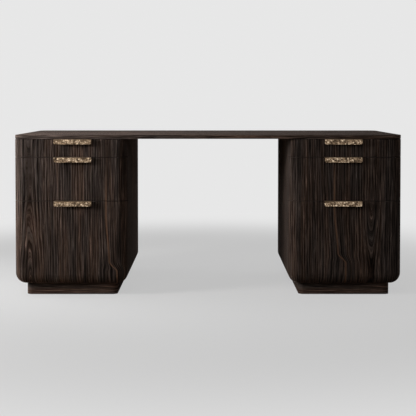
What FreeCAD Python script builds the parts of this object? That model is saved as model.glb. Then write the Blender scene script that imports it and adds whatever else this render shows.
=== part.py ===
import FreeCAD, Part
import os
from collections import namedtuple

# Double-pedestal desk with six drawers. Lengths are in millimetres.
# X runs along the desk, the drawers face -Y, and the floor is Z = 0.

# Whole desk
WIDTH = 1828.8
CASE_DEPTH = 812.8
HEIGHT = 762.0
CORNER_RADIUS = 50.8

# Boards, shadow gaps and joints
BOARD = 19.0
REVEAL = 3.0
DRAWER_SEAM = 3.0
SIDE_SEAM = 2.0
TONGUE = 6.0
TONGUE_LENGTH = 8.0
TONGUE_GAP = 0.2
TONGUE_STOP = 20.0

# Desktop, with the steel bars that stiffen it across the kneehole
TOP_THICK = 18.0
TOP_EASE = 1.2
BAR_WIDTH = 30.0
BAR_THICK = 8.0
BAR_BEARING = 150.0
BAR_INSET = 230.0

# Pedestals
PEDESTAL_WIDTH = 533.4
TOP_PANEL = 22.0

# Bolts that hold the desktop on the pedestals, and the threaded inserts they turn in
BOLT_INSET = 62.0
BOLT_SHANK = 6.0
BOLT_HEAD = 12.0
BOLT_HEAD_HEIGHT = 4.0
BOLT_HEAD_GAP = 0.5
BOLT_SUNK = 6.0
BOLT_SOCKET = 4.0
BOLT_SOCKET_DEPTH = 2.5
INSERT_DIAMETER = 10.0
INSERT_LENGTH = 12.0

# Plinth and glides
CASE_BOTTOM = 57.0
PLINTH_INSET = 50.8
PLINTH_RADIUS = 25.0
GLIDE_DIAMETER = 16.0
GLIDE_PROUD = 2.0
GLIDE_PIN = 6.0
GLIDE_PIN_LENGTH = 14.0
GLIDE_SETBACK = 30.0

# Drawer fronts and trays
PENCIL_FRONT = 81.8
STATIONERY_FRONT = 203.4
TRAY_BOARD = 12.0
TRAY_CLEARANCE = 6.0
STATIONERY_DROP = 40.0
FILE_DROP = 80.0
TRAY_REAR_GAP = 128.8
TRAY_CORNER_GAP = 0.7
TAIL_PITCH = 35.0
PIN_WIDTH = 7.0
TAIL_SLOPE_SHARE = 1 / 6
PANEL_THICK = 6.0
PANEL_LIFT = 10.0
PANEL_GROOVE = 6.0
PANEL_GAP = 0.5

# Ball-bearing slides: three nested channels on each side of a drawer
SLIDE_THICK = 12.7
SLIDE_HEIGHT = 45.0
SLIDE_SHEET = 1.2
SLIDE_RUN = 0.3
SLIDE_SETBACK = 3.0
SLIDE_TAIL = 10.0

# Edge pulls: a flange on the front's top edge, and a plate that hangs in front of it
PULL_LENGTH = 178.0
PULL_DROP = 25.0
PULL_PROJECTION = 20.0
PULL_PLATE = 4.0
PULL_PROUD = 1.5
PULL_LET_IN = 1.0
PULL_SEAT = 15.0
PULL_OFFSET = 12.0
PULL_CORNER = 8.0
PULL_SCREW_INSET = 29.0

# Countersunk screws
SOCKET_SIDES = 6
SCREW_HEAD = 8.0
SCREW_HEAD_HEIGHT = 2.2
SCREW_SHANK = 4.0
SCREW_SOCKET = 2.5
SCREW_SOCKET_DEPTH = 1.4
PULL_SCREW_LENGTH = 24.0
FRONT_SCREW_LENGTH = 25.0
FRONT_SCREW_INSET = 45.0
FRONT_SCREW_MARGIN = 9.0

# Cuts run this far past the faces they open
OVERRUN = 1.0
# Two heights closer than this are one
SAME = 0.001

# Places that follow from the sizes. The pulls' plates and the case's back bound the desk in Y.
FRONT_Y = (PULL_PROJECTION - CASE_DEPTH) / 2
TOP_UNDERSIDE = HEIGHT - TOP_THICK
CASE_TOP = TOP_UNDERSIDE - REVEAL
CASE_START = CORNER_RADIUS + SIDE_SEAM
BACK_START = CASE_DEPTH - CORNER_RADIUS
CAVITY_RADIUS = SLIDE_THICK - TRAY_CORNER_GAP
CAVITY_FLOOR = CASE_BOTTOM + BOARD
PANEL_UNDERSIDE = TOP_UNDERSIDE - TOP_PANEL
TONGUE_SIDE = (BOARD - TONGUE) / 2
TRAY_LEFT = BOARD + SLIDE_THICK
TRAY_RIGHT = PEDESTAL_WIDTH - TRAY_LEFT
TRAY_END = CASE_DEPTH - BOARD - TRAY_REAR_GAP
SLIDE_START = CASE_START + SLIDE_SETBACK
SLIDE_END = TRAY_END - SLIDE_TAIL
PULL_MIDDLE = PEDESTAL_WIDTH / 2 + PULL_OFFSET

UP = FreeCAD.Vector(0, 0, 1)
DOWN = FreeCAD.Vector(0, 0, -1)
FORWARD = FreeCAD.Vector(0, -1, 0)
SIDEWAYS = FreeCAD.Vector(1, 0, 0)

Drawer = namedtuple("Drawer", "tier bottom top tray_bottom tray_top")


def point(u, d, z):
    """A point by its distance u from the desk's left side, d behind the drawer faces and z above the floor."""
    return FreeCAD.Vector(u - WIDTH / 2, d + FRONT_Y, z)


def block(u0, u1, d0, d1, z0, z1):
    """A box between two widths, two depths and two heights."""
    return Part.makeBox(u1 - u0, d1 - d0, z1 - z0, point(u0, d0, z0))


def is_upright(edge):
    """Whether a straight edge stands along Z."""
    return abs(edge.Vertexes[0].Z - edge.Vertexes[-1].Z) > SAME


def edges_at(shape, z):
    """The edges that lie at one height."""
    return [edge for edge in shape.Edges
            if abs(edge.BoundBox.ZMin - z) < SAME and abs(edge.BoundBox.ZMax - z) < SAME]


def round_corners(shape, radius):
    """Rounds the upright edges."""
    return shape.makeFillet(radius, [edge for edge in shape.Edges if is_upright(edge)])


def mirrored(shape):
    """The same shape on the desk's right side."""
    return shape.mirror(FreeCAD.Vector(0, 0, 0), SIDEWAYS)


def across(shape):
    """The same shape on the other side of the left pedestal."""
    return shape.mirror(point(PEDESTAL_WIDTH / 2, 0, 0), SIDEWAYS)


def hexagon(centre, axis, width, depth):
    """A hexagonal prism, as a socket is cut with: its width across flats, and its depth along the axis."""
    flat = axis.cross(SIDEWAYS)
    spoke = flat * (width / 3 ** 0.5 / flat.Length)
    corners = [centre + FreeCAD.Rotation(axis, i * 360 / SOCKET_SIDES).multVec(spoke)
               for i in range(SOCKET_SIDES + 1)]
    return Part.Face(Part.makePolygon(corners)).extrude(axis * depth)


def screw_blank(head, axis, length):
    """A countersunk screw's outside, from the centre of its flat head along the way it drives in."""
    cone = Part.makeCone(SCREW_HEAD / 2, SCREW_SHANK / 2, SCREW_HEAD_HEIGHT, head, axis)
    return cone.fuse(Part.makeCylinder(SCREW_SHANK / 2, length, head, axis))


def screw(head, axis, length):
    """A countersunk screw with a hexagonal socket."""
    return screw_blank(head, axis, length).cut(hexagon(head, axis, SCREW_SOCKET, SCREW_SOCKET_DEPTH))


# Desktop

def bar(d0):
    """One stiffening bar, let in flush with the desktop's underside."""
    start = PEDESTAL_WIDTH - BAR_BEARING
    return block(start, WIDTH - start, d0, d0 + BAR_WIDTH, TOP_UNDERSIDE, TOP_UNDERSIDE + BAR_THICK)


def bars():
    """Both bars, as far from the front of the desk as from its back."""
    return [bar(BAR_INSET), bar(CASE_DEPTH - BAR_INSET - BAR_WIDTH)]


def bolt_places():
    """Where the left pedestal's four bolts stand, as widths and depths."""
    return [(u, d) for u in (BOLT_INSET, PEDESTAL_WIDTH - BOLT_INSET)
            for d in (CASE_START + BOLT_INSET, CASE_DEPTH - BOARD - BOLT_INSET)]


def bolt(u, d):
    """A socket-head bolt, up through a pedestal's top panel into the desktop."""
    seat = PANEL_UNDERSIDE + BOLT_SUNK
    head = Part.makeCylinder(BOLT_HEAD / 2, BOLT_HEAD_HEIGHT, point(u, d, seat - BOLT_HEAD_HEIGHT), UP)
    shank = Part.makeCylinder(BOLT_SHANK / 2, TOP_UNDERSIDE + INSERT_LENGTH - seat, point(u, d, seat), UP)
    socket = hexagon(point(u, d, seat - BOLT_HEAD_HEIGHT), UP, BOLT_SOCKET, BOLT_SOCKET_DEPTH)
    return head.fuse(shank).cut(socket)


def bolt_bore(u, d):
    """The bore and the counterbore that a bolt needs in the top panel."""
    bore = Part.makeCylinder(BOLT_SHANK / 2, TOP_PANEL + OVERRUN, point(u, d, PANEL_UNDERSIDE), UP)
    sunk = Part.makeCylinder(BOLT_HEAD / 2 + BOLT_HEAD_GAP, BOLT_SUNK + OVERRUN,
                             point(u, d, PANEL_UNDERSIDE - OVERRUN), UP)
    return bore.fuse(sunk)


def insert(u, d):
    """A threaded insert in the desktop's underside."""
    sleeve = Part.makeCylinder(INSERT_DIAMETER / 2, INSERT_LENGTH, point(u, d, TOP_UNDERSIDE), UP)
    return sleeve.cut(Part.makeCylinder(BOLT_SHANK / 2, INSERT_LENGTH, point(u, d, TOP_UNDERSIDE), UP))


def insert_bore(u, d):
    """The blind bore of an insert."""
    return Part.makeCylinder(INSERT_DIAMETER / 2, INSERT_LENGTH + OVERRUN,
                             point(u, d, TOP_UNDERSIDE - OVERRUN), UP)


def desktop():
    """The slab, with rounded corners, eased edges, grooves for the bars and bores for the inserts."""
    slab = round_corners(block(0, WIDTH, 0, CASE_DEPTH, TOP_UNDERSIDE, HEIGHT), CORNER_RADIUS)
    slab = slab.makeFillet(TOP_EASE, edges_at(slab, HEIGHT) + edges_at(slab, TOP_UNDERSIDE))
    bores = [insert_bore(u, d) for u, d in bolt_places()]
    return slab.cut(bars() + bores + [mirrored(bore) for bore in bores])


def both_sides(solids):
    """Solids on the left side, and the same on the right."""
    return Part.makeCompound(solids + [mirrored(solid) for solid in solids])


# Pedestal case

def case_shell():
    """The pedestal's whole skin, one board thick: rounded at its corners and along its bottom edges."""
    outside = block(0, PEDESTAL_WIDTH, 0, CASE_DEPTH, CASE_BOTTOM, CASE_TOP)
    cavity = block(BOARD, PEDESTAL_WIDTH - BOARD, BOARD, CASE_DEPTH - BOARD, CAVITY_FLOOR, CASE_TOP + OVERRUN)
    skins = []
    for shape, radius in ((outside, CORNER_RADIUS), (cavity, CAVITY_RADIUS)):
        edges = [edge for edge in shape.Edges if is_upright(edge)]
        skins.append(shape.makeFillet(radius, edges + edges_at(shape, shape.BoundBox.ZMin)))
    return skins[0].cut(skins[1])


def slice_of(shell, u0, u1, d0, d1, z0, z1):
    """The part of the shell inside a box."""
    return shell.common(block(u0, u1, d0, d1, z0, z1))


def side_tongue(extra):
    """The tongue on a side's rear edge, or with an extra its groove in the back."""
    return block(TONGUE_SIDE, TONGUE_SIDE + TONGUE, BACK_START - extra, BACK_START + TONGUE_LENGTH + extra,
                 CASE_BOTTOM + CORNER_RADIUS, CASE_TOP - TONGUE_STOP)


def bottom_tongues(extra):
    """The three tongues round the bottom panel, or with an extra their grooves."""
    z0 = CASE_BOTTOM + TONGUE_SIDE
    z1 = z0 + TONGUE
    left = block(CORNER_RADIUS - TONGUE_LENGTH - extra, CORNER_RADIUS + extra,
                 CASE_START + TONGUE_STOP, BACK_START - TONGUE_STOP, z0, z1)
    rear = block(CORNER_RADIUS + TONGUE_STOP, PEDESTAL_WIDTH - CORNER_RADIUS - TONGUE_STOP,
                 BACK_START - extra, BACK_START + TONGUE_LENGTH + extra, z0, z1)
    return [left, across(left), rear]


def panel_tongues(extra):
    """The two tongues of the top panel, or with an extra their grooves in the sides."""
    z0 = PANEL_UNDERSIDE + (TOP_PANEL - REVEAL - TONGUE) / 2
    left = block(BOARD - TONGUE_LENGTH - extra, BOARD + extra,
                 CASE_START + TONGUE_STOP, BACK_START - TONGUE_STOP, z0, z0 + TONGUE)
    return [left, across(left)]


def outer_side(shell):
    """The side on the desk's outside, with the curved edge that turns under it."""
    board = slice_of(shell, 0, CORNER_RADIUS, CASE_START, BACK_START, CASE_BOTTOM, CASE_TOP)
    board = board.fuse(side_tongue(0))
    return board.cut(bottom_tongues(TONGUE_GAP) + panel_tongues(TONGUE_GAP)).removeSplitter()


def back(shell):
    """The back, with both rear corners."""
    board = slice_of(shell, 0, PEDESTAL_WIDTH, BACK_START, CASE_DEPTH, CASE_BOTTOM, CASE_TOP)
    groove = side_tongue(TONGUE_GAP)
    return board.cut([groove, across(groove)] + bottom_tongues(TONGUE_GAP))


def bottom():
    """The flat bottom panel between the sides' curved edges."""
    panel = block(CORNER_RADIUS, PEDESTAL_WIDTH - CORNER_RADIUS, CASE_START, BACK_START, CASE_BOTTOM, CAVITY_FLOOR)
    return panel.fuse(bottom_tongues(0)).removeSplitter()


def top_panel():
    """The panel between the sides that the desktop rests on. It stands above them by the reveal."""
    panel = block(BOARD, PEDESTAL_WIDTH - BOARD, CASE_START, CASE_DEPTH - BOARD, PANEL_UNDERSIDE, TOP_UNDERSIDE)
    rear = [edge for edge in panel.Edges
            if is_upright(edge) and edge.BoundBox.YMin > point(0, CASE_START, 0).y + SAME]
    panel = panel.makeFillet(CAVITY_RADIUS, rear).fuse(panel_tongues(0)).removeSplitter()
    return panel.cut([bolt_bore(u, d) for u, d in bolt_places()])


# Plinth and glides

def glide_places():
    """Where the left pedestal's four glides stand, as widths and depths."""
    u = PLINTH_INSET + BOARD / 2
    d = PLINTH_INSET + PLINTH_RADIUS + GLIDE_SETBACK
    return [(u_at, d_at) for u_at in (u, PEDESTAL_WIDTH - u) for d_at in (d, CASE_DEPTH - d)]


def glide(u, d):
    """A nylon disc with the pin that it is tapped in with."""
    disc = Part.makeCylinder(GLIDE_DIAMETER / 2, GLIDE_PROUD, point(u, d, 0), UP)
    return disc.fuse(glide_pin(u, d))


def glide_pin(u, d):
    """The pin of one glide."""
    return Part.makeCylinder(GLIDE_PIN / 2, GLIDE_PIN_LENGTH, point(u, d, GLIDE_PROUD), UP)


def plinth():
    """The recessed base: front and back with their rounded corners, and a board at each side."""
    outside = PEDESTAL_WIDTH - PLINTH_INSET
    rear = CASE_DEPTH - PLINTH_INSET
    ring = round_corners(block(PLINTH_INSET, outside, PLINTH_INSET, rear, GLIDE_PROUD, CASE_BOTTOM), PLINTH_RADIUS)
    hollow = block(PLINTH_INSET + BOARD, outside - BOARD, PLINTH_INSET + BOARD, rear - BOARD,
                   GLIDE_PROUD - OVERRUN, CASE_BOTTOM + OVERRUN)
    ring = ring.cut(round_corners(hollow, PLINTH_RADIUS - BOARD))
    ring = ring.cut([glide_pin(u, d) for u, d in glide_places()])
    corner = PLINTH_INSET + PLINTH_RADIUS
    middle = PEDESTAL_WIDTH / 2
    cuts = ((0, PEDESTAL_WIDTH, 0, corner), (0, PEDESTAL_WIDTH, CASE_DEPTH - corner, CASE_DEPTH),
            (0, middle, corner, CASE_DEPTH - corner), (middle, PEDESTAL_WIDTH, corner, CASE_DEPTH - corner))
    return Part.makeCompound([slice_of(ring, *cut, GLIDE_PROUD, CASE_BOTTOM) for cut in cuts])


# Drawers

def drawers():
    """The three drawers of a pedestal, from the top: heights of the front and of the tray."""
    pencil_bottom = CASE_TOP - PENCIL_FRONT
    stationery_top = pencil_bottom - DRAWER_SEAM
    stationery_bottom = stationery_top - STATIONERY_FRONT
    file_top = stationery_bottom - DRAWER_SEAM
    return (Drawer("pencil", pencil_bottom, CASE_TOP, pencil_bottom + TRAY_CLEARANCE,
                   PANEL_UNDERSIDE - TRAY_CLEARANCE),
            Drawer("stationery", stationery_bottom, stationery_top, stationery_bottom + TRAY_CLEARANCE,
                   stationery_top - STATIONERY_DROP),
            Drawer("file", CASE_BOTTOM, file_top, CAVITY_FLOOR + CAVITY_RADIUS + TRAY_CLEARANCE,
                   file_top - FILE_DROP))


def front_screw_heads(drawer):
    """The heads of the four screws that hold a tray to its front."""
    low = drawer.tray_bottom + PANEL_LIFT + PANEL_THICK + FRONT_SCREW_MARGIN
    high = drawer.tray_top - FRONT_SCREW_MARGIN
    return [point(u, BOARD + TRAY_BOARD, z) for u in (TRAY_LEFT + FRONT_SCREW_INSET, TRAY_RIGHT - FRONT_SCREW_INSET)
            for z in (low, high)]


def pull_screw_heads(drawer):
    """The heads of a pull's two screws, flush with the top of its flange."""
    reach = PULL_LENGTH / 2 - PULL_SCREW_INSET
    return [point(u, PULL_SEAT / 2, drawer.top + PULL_PROUD) for u in (PULL_MIDDLE - reach, PULL_MIDDLE + reach)]


def screws(drawer, make):
    """All the screws of one drawer, each made by one function."""
    return ([make(head, FORWARD, FRONT_SCREW_LENGTH) for head in front_screw_heads(drawer)]
            + [make(head, DOWN, PULL_SCREW_LENGTH) for head in pull_screw_heads(drawer)])


def front(shell, drawer):
    """A drawer front that wraps both of its corners, with a shallow seat for the pull."""
    board = slice_of(shell, 0, PEDESTAL_WIDTH, 0, CORNER_RADIUS, drawer.bottom, drawer.top)
    seat = block(PULL_MIDDLE - PULL_LENGTH / 2, PULL_MIDDLE + PULL_LENGTH / 2, -OVERRUN, PULL_SEAT,
                 drawer.top - PULL_LET_IN, drawer.top + OVERRUN)
    return board.cut([seat] + screws(drawer, screw_blank))


def pull(drawer):
    """An edge pull with an L section. The plate's lower corners are rounded."""
    left = PULL_MIDDLE - PULL_LENGTH / 2
    right = left + PULL_LENGTH
    high = drawer.top + PULL_PROUD
    plate = block(left, right, -PULL_PROJECTION, PULL_PLATE - PULL_PROJECTION, high - PULL_DROP, high)
    lower = [edge for edge in plate.Edges
             if abs(edge.BoundBox.ZMax - high + PULL_DROP) < SAME and edge.BoundBox.YLength > PULL_PLATE - SAME]
    plate = plate.makeFillet(PULL_CORNER, lower)
    flange = block(left, right, -PULL_PROJECTION, PULL_SEAT, drawer.top - PULL_LET_IN, high)
    heads = [screw_blank(head, DOWN, PULL_SCREW_LENGTH) for head in pull_screw_heads(drawer)]
    return plate.fuse(flange).removeSplitter().cut(heads)


def tails(drawer, root, end):
    """The dovetails of a tray's left side at one of its ends, each wider at the end than at its root."""
    height = drawer.tray_top - drawer.tray_bottom
    count = max(2, round(height / TAIL_PITCH))
    pitch = height / count
    at_end = (pitch - PIN_WIDTH) / 2
    at_root = at_end - abs(root - end) * TAIL_SLOPE_SHARE
    solids = []
    for i in range(count):
        middle = drawer.tray_bottom + (i + 0.5) * pitch
        corners = [point(TRAY_LEFT, root, middle - at_root), point(TRAY_LEFT, end, middle - at_end),
                   point(TRAY_LEFT, end, middle + at_end), point(TRAY_LEFT, root, middle + at_root)]
        face = Part.Face(Part.makePolygon(corners + corners[:1]))
        solids.append(face.extrude(SIDEWAYS * TRAY_BOARD))
    return solids


def tray_panel(drawer, extra):
    """A tray's bottom panel, or with an extra the groove that holds it."""
    low = drawer.tray_bottom + PANEL_LIFT
    edge = TRAY_BOARD - PANEL_GROOVE + PANEL_GAP - extra
    return block(TRAY_LEFT + edge, TRAY_RIGHT - edge, BOARD + edge, TRAY_END - edge, low, low + PANEL_THICK)


def tray(drawer):
    """A drawer box of four boards with through dovetails at its corners."""
    z = (drawer.tray_bottom, drawer.tray_top)
    front_root = BOARD + TRAY_BOARD
    rear_root = TRAY_END - TRAY_BOARD
    side = block(TRAY_LEFT, TRAY_LEFT + TRAY_BOARD, front_root, rear_root, *z)
    side = side.fuse(tails(drawer, front_root, BOARD) + tails(drawer, rear_root, TRAY_END)).removeSplitter()
    ends = [block(TRAY_LEFT, TRAY_RIGHT, BOARD, front_root, *z), block(TRAY_LEFT, TRAY_RIGHT, rear_root, TRAY_END, *z)]
    sides = [side, across(side)]
    groove = tray_panel(drawer, PANEL_GAP)
    holes = [groove] + screws(drawer, screw_blank)
    return Part.makeCompound([board.cut(groove) for board in sides] + [board.cut(sides + holes) for board in ends])


def channel(web, lip, half_height, drawer):
    """One member of a slide: a web on one side and two flanges that reach to the other."""
    middle = (drawer.tray_bottom + drawer.tray_top) / 2
    whole = block(min(web, lip), max(web, lip), SLIDE_START, SLIDE_END, middle - half_height, middle + half_height)
    inside = web + SLIDE_SHEET if web < lip else web - SLIDE_SHEET
    past = lip + OVERRUN if web < lip else lip - OVERRUN
    clear = half_height - SLIDE_SHEET
    hollow = block(min(inside, past), max(inside, past), SLIDE_START - OVERRUN, SLIDE_END + OVERRUN,
                   middle - clear, middle + clear)
    return whole.cut(hollow)


def slide_pair(web, lip, half_height, drawer):
    """A member on each side of the drawer."""
    member = channel(web, lip, half_height, drawer)
    return [member, across(member)]


def cabinet_members(drawer):
    """The members that are screwed to the case."""
    return slide_pair(BOARD, TRAY_LEFT - SLIDE_SHEET - SLIDE_RUN, SLIDE_HEIGHT / 2, drawer)


def carriers(drawer):
    """The members between the case and the drawer, which travel half as far as the drawer."""
    step = SLIDE_SHEET + SLIDE_RUN
    return slide_pair(BOARD + step, TRAY_LEFT - step, SLIDE_HEIGHT / 2 - step, drawer)


def runners(drawer):
    """The members that are screwed to the tray."""
    step = SLIDE_SHEET + SLIDE_RUN
    return slide_pair(TRAY_LEFT, BOARD + 2 * step, SLIDE_HEIGHT / 2 - 2 * step, drawer)


def drawer_pieces(shell, drawer):
    """The pieces of one drawer, by name."""
    return {"front": front(shell, drawer),
            "pull": pull(drawer),
            "tray": tray(drawer),
            "tray_bottom": tray_panel(drawer, 0),
            "runners": Part.makeCompound(runners(drawer)),
            "carriers": Part.makeCompound(carriers(drawer)),
            "screws": Part.makeCompound(screws(drawer, screw))}


def pedestal_pieces():
    """The pieces of the left pedestal, by name."""
    shell = case_shell()
    side = outer_side(shell)
    pieces = {"outer_side": side,
              "inner_side": across(side),
              "back": back(shell),
              "bottom": bottom(),
              "top_panel": top_panel(),
              "plinth": plinth()}
    for drawer in drawers():
        for name, shape in drawer_pieces(shell, drawer).items():
            pieces[drawer.tier + "_" + name] = shape
    return pieces


def shared_pieces():
    """The desktop and what serves both pedestals, by name."""
    members = [member for drawer in drawers() for member in cabinet_members(drawer)]
    return {"desktop": desktop(),
            "stiffening_bars": Part.makeCompound(bars()),
            "top_bolts": both_sides([bolt(u, d) for u, d in bolt_places()]),
            "top_inserts": both_sides([insert(u, d) for u, d in bolt_places()]),
            "glides": both_sides([glide(u, d) for u, d in glide_places()]),
            "cabinet_slides": both_sides(members)}


def main():
    """Builds every piece and writes one file for each."""
    os.makedirs("parts", exist_ok=True)
    pieces = shared_pieces()
    for name, shape in pedestal_pieces().items():
        pieces["left_" + name] = shape
        pieces["right_" + name] = mirrored(shape)
    for name, shape in pieces.items():
        shape.exportStep("parts/" + name + ".step")
        if not shape.isValid():
            print(name, "is not a valid shape")
    solids = sum(len(shape.Solids) for shape in pieces.values())
    print(len(pieces), "nodes,", solids, "solids")


main()
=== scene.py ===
"""Double-pedestal desk in burnished oak with cast bronze edge pulls, dressed around its construction.

Everything is in metres, in the desk's own frame: X along the desk, the drawers face -Y, the floor is Z = 0.
"""

import logging
import math
from collections.abc import Callable, Iterable
from dataclasses import dataclass, field
from enum import Enum
from functools import partial, reduce

import bmesh
import bpy
from mathutils import Matrix, Vector, noise

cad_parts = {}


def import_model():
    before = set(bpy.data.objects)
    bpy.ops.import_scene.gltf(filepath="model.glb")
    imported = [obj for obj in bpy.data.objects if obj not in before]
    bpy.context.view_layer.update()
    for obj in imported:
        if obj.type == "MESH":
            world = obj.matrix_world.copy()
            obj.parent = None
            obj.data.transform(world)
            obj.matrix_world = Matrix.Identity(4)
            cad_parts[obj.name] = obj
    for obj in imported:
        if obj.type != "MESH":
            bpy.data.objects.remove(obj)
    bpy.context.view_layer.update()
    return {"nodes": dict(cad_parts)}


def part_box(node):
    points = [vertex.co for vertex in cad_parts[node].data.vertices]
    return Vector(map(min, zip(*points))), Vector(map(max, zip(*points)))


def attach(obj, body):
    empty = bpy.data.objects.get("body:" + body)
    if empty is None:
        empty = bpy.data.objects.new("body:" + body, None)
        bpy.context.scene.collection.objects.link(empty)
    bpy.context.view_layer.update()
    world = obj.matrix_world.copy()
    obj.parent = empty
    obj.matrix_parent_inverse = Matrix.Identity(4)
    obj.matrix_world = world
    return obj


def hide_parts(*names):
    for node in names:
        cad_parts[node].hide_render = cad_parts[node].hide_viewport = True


log = logging.getLogger("desk")

BMesh, BMVert = bmesh.types.BMesh, bmesh.types.BMVert
Object, Material = bpy.types.Object, bpy.types.Material
Tree, Socket = bpy.types.NodeTree, bpy.types.NodeSocket
Value = Socket | float
Colour = tuple[float, float, float]
Place = tuple[float, float, float]
Pair = tuple[float, float]
Fit = tuple[float, float, float, float]
GrainMap = Callable[[Vector, Vector], tuple[float, float]]

MM = 0.001
GRAIN_MAP = "grain"
RELIEF_LAYER = "relief"
TIERS = ("pencil", "stationery", "file")
CASE_BOARDS = ("outer_side", "inner_side", "back")

# What counts as one corner, one face, a sharp edge and a long edge in a copy of a node's mesh.
MERGED = 0.01 * MM
FLAT = math.radians(1.5)
SHARP = math.radians(40)
LONG = 4 * MM

# The least vertical part of the normal of a face that lies flat, and of one that is level.
LYING = 0.5
UPWARD = 0.99

# Slack for rounding, in metres, and in metres or radians.
SPECK = 1e-7
HAIR = 1e-6

# The span that most of a cloud's values lie in.
CLOUDY = (0.3, 0.7)


class Side(Enum):
    """The two ends of the desk, as seen by a person who faces the drawers."""

    LEFT = "left"
    RIGHT = "right"


class Run(Enum):
    """The axis of the desk that a board's grain runs along."""

    ALONG = 0
    DEEP = 1
    UPRIGHT = 2


def clamp(value: float, low: float, high: float) -> float:
    """A value kept between two bounds."""
    return min(max(value, low), high)


def dimmed(colour: Colour, share: float) -> Colour:
    """A colour with each part multiplied by a share."""
    return tuple(part * share for part in colour)


# Node trees

@dataclass(frozen=True)
class Graph:
    """A shader node tree that is being wired. Its methods add nodes and return the socket they put out."""

    tree: Tree

    def feed(self, socket: Socket, value: Value | Colour) -> None:
        """Links a socket to an input, or sets the input to a plain value.

        Args:
            socket: the input.
            value: what it takes.
        """
        if isinstance(value, Socket):
            self.tree.links.new(value, socket)
        else:
            socket.default_value = (*value, 1.0) if socket.type == "RGBA" else value

    def wire(self, kind: str, inputs: dict[str | int, Value | Colour], result: str | int = 0,
             **settings: object) -> Socket:
        """Adds a node and feeds it.

        Args:
            kind: the node's Blender type.
            inputs: what its inputs take, by name or number.
            result: the output that is wanted, by name or number.
            settings: attributes to set on the node.

        Returns:
            The output.
        """
        node = self.tree.nodes.new(kind)
        for name, value in settings.items():
            setattr(node, name, value)
        for key, value in inputs.items():
            self.feed(node.inputs[key], value)
        return node.outputs[result]

    def math(self, operation: str, *values: Value) -> Socket:
        """One arithmetic step on one or two values, by the Math node's word for it."""
        return self.wire("ShaderNodeMath", dict(enumerate(values)), operation=operation)

    def plus(self, *values: Value) -> Socket:
        """The sum of two or more values."""
        return reduce(partial(self.math, "ADD"), values)

    def minus(self, *values: Value) -> Socket:
        """The first value less all the others."""
        return reduce(partial(self.math, "SUBTRACT"), values)

    def times(self, *values: Value) -> Socket:
        """The product of two or more values."""
        return reduce(partial(self.math, "MULTIPLY"), values)

    def most(self, *values: Value) -> Socket:
        """The greatest of two or more values."""
        return reduce(partial(self.math, "MAXIMUM"), values)

    def over(self, value: Value, size: float) -> Socket:
        """A value in units of a size."""
        return self.math("DIVIDE", value, size)

    def bell(self, value: Value, width: float) -> Socket:
        """1 at zero, falling off to nothing over a width or two."""
        share = self.over(value, width)
        return self.math("EXPONENT", self.times(share, share, -1.0))

    def split(self, vector: Socket) -> list[Socket]:
        """The three numbers of a vector."""
        return list(self.wire("ShaderNodeSeparateXYZ", {0: vector}).node.outputs)

    def join(self, *values: Value) -> Socket:
        """A vector of three numbers."""
        return self.wire("ShaderNodeCombineXYZ", dict(enumerate(values)))

    def noise(self, vector: Socket, detail: float = 2.0, roughness: float = 0.5) -> Socket:
        """Noise from 0 to 1 in cells one unit wide, by its octaves and the weight of the finer ones."""
        return self.wire("ShaderNodeTexNoise", {"Vector": vector, "Scale": 1.0, "Detail": detail,
                                                "Roughness": roughness}, "Fac")

    def fit(self, value: Socket, low: Value, high: Value, start: Value = 0.0, end: Value = 1.0,
            ease: str = "SMOOTHSTEP") -> Socket:
        """Carries low to start and high to end and stops there, by the Map Range node's word for easing."""
        inputs = {"Value": value, "From Min": low, "From Max": high, "To Min": start, "To Max": end}
        return self.wire("ShaderNodeMapRange", inputs, interpolation_type=ease)

    def mix(self, share: Value, first: Socket | Colour, second: Socket | Colour,
            blend: str = "MIX") -> Socket:
        """Two colours mixed, with a share of the second. The node's sockets for colours are 6, 7 and 2."""
        return self.wire("ShaderNodeMix", {0: share, 6: first, 7: second}, 2, data_type="RGBA",
                         blend_type=blend)

    def bump(self, height: Socket, distance: float) -> Socket:
        """A normal from a height in units of a distance in metres."""
        return self.wire("ShaderNodeBump", {"Strength": 1.0, "Distance": distance, "Height": height})

    def group(self, tree: Tree, **values: Value | Colour) -> dict[str, Socket]:
        """Places a node group, with _ for a blank in an input's name, and gives its outputs by name."""
        inputs = {name.replace("_", " "): value for name, value in values.items()}
        return dict(self.wire("ShaderNodeGroup", inputs, node_tree=tree).node.outputs.items())


class SharedGroup:
    """A shader node group with named inputs and outputs, for an effect that several finishes use."""

    def __init__(self, name: str, inputs: dict[str, str], outputs: dict[str, str]) -> None:
        """Makes the group and its sockets.

        Args:
            name: the group's name.
            inputs: socket types by name.
            outputs: socket types by name.
        """
        self.tree = bpy.data.node_groups.new(name, "ShaderNodeTree")
        for way, sockets in (("INPUT", inputs), ("OUTPUT", outputs)):
            for label, kind in sockets.items():
                self.tree.interface.new_socket(label, in_out=way, socket_type="NodeSocket" + kind)
        self.graph = Graph(self.tree)
        self.given = self.tree.nodes.new("NodeGroupInput").outputs
        self.results = self.tree.nodes.new("NodeGroupOutput").inputs

    def put_out(self, **results: Socket) -> Tree:
        """Wires the outputs.

        Args:
            results: what each output gives, by its name.

        Returns:
            The finished group.
        """
        for name, socket in results.items():
            self.graph.feed(self.results[name], socket)
        return self.tree


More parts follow.
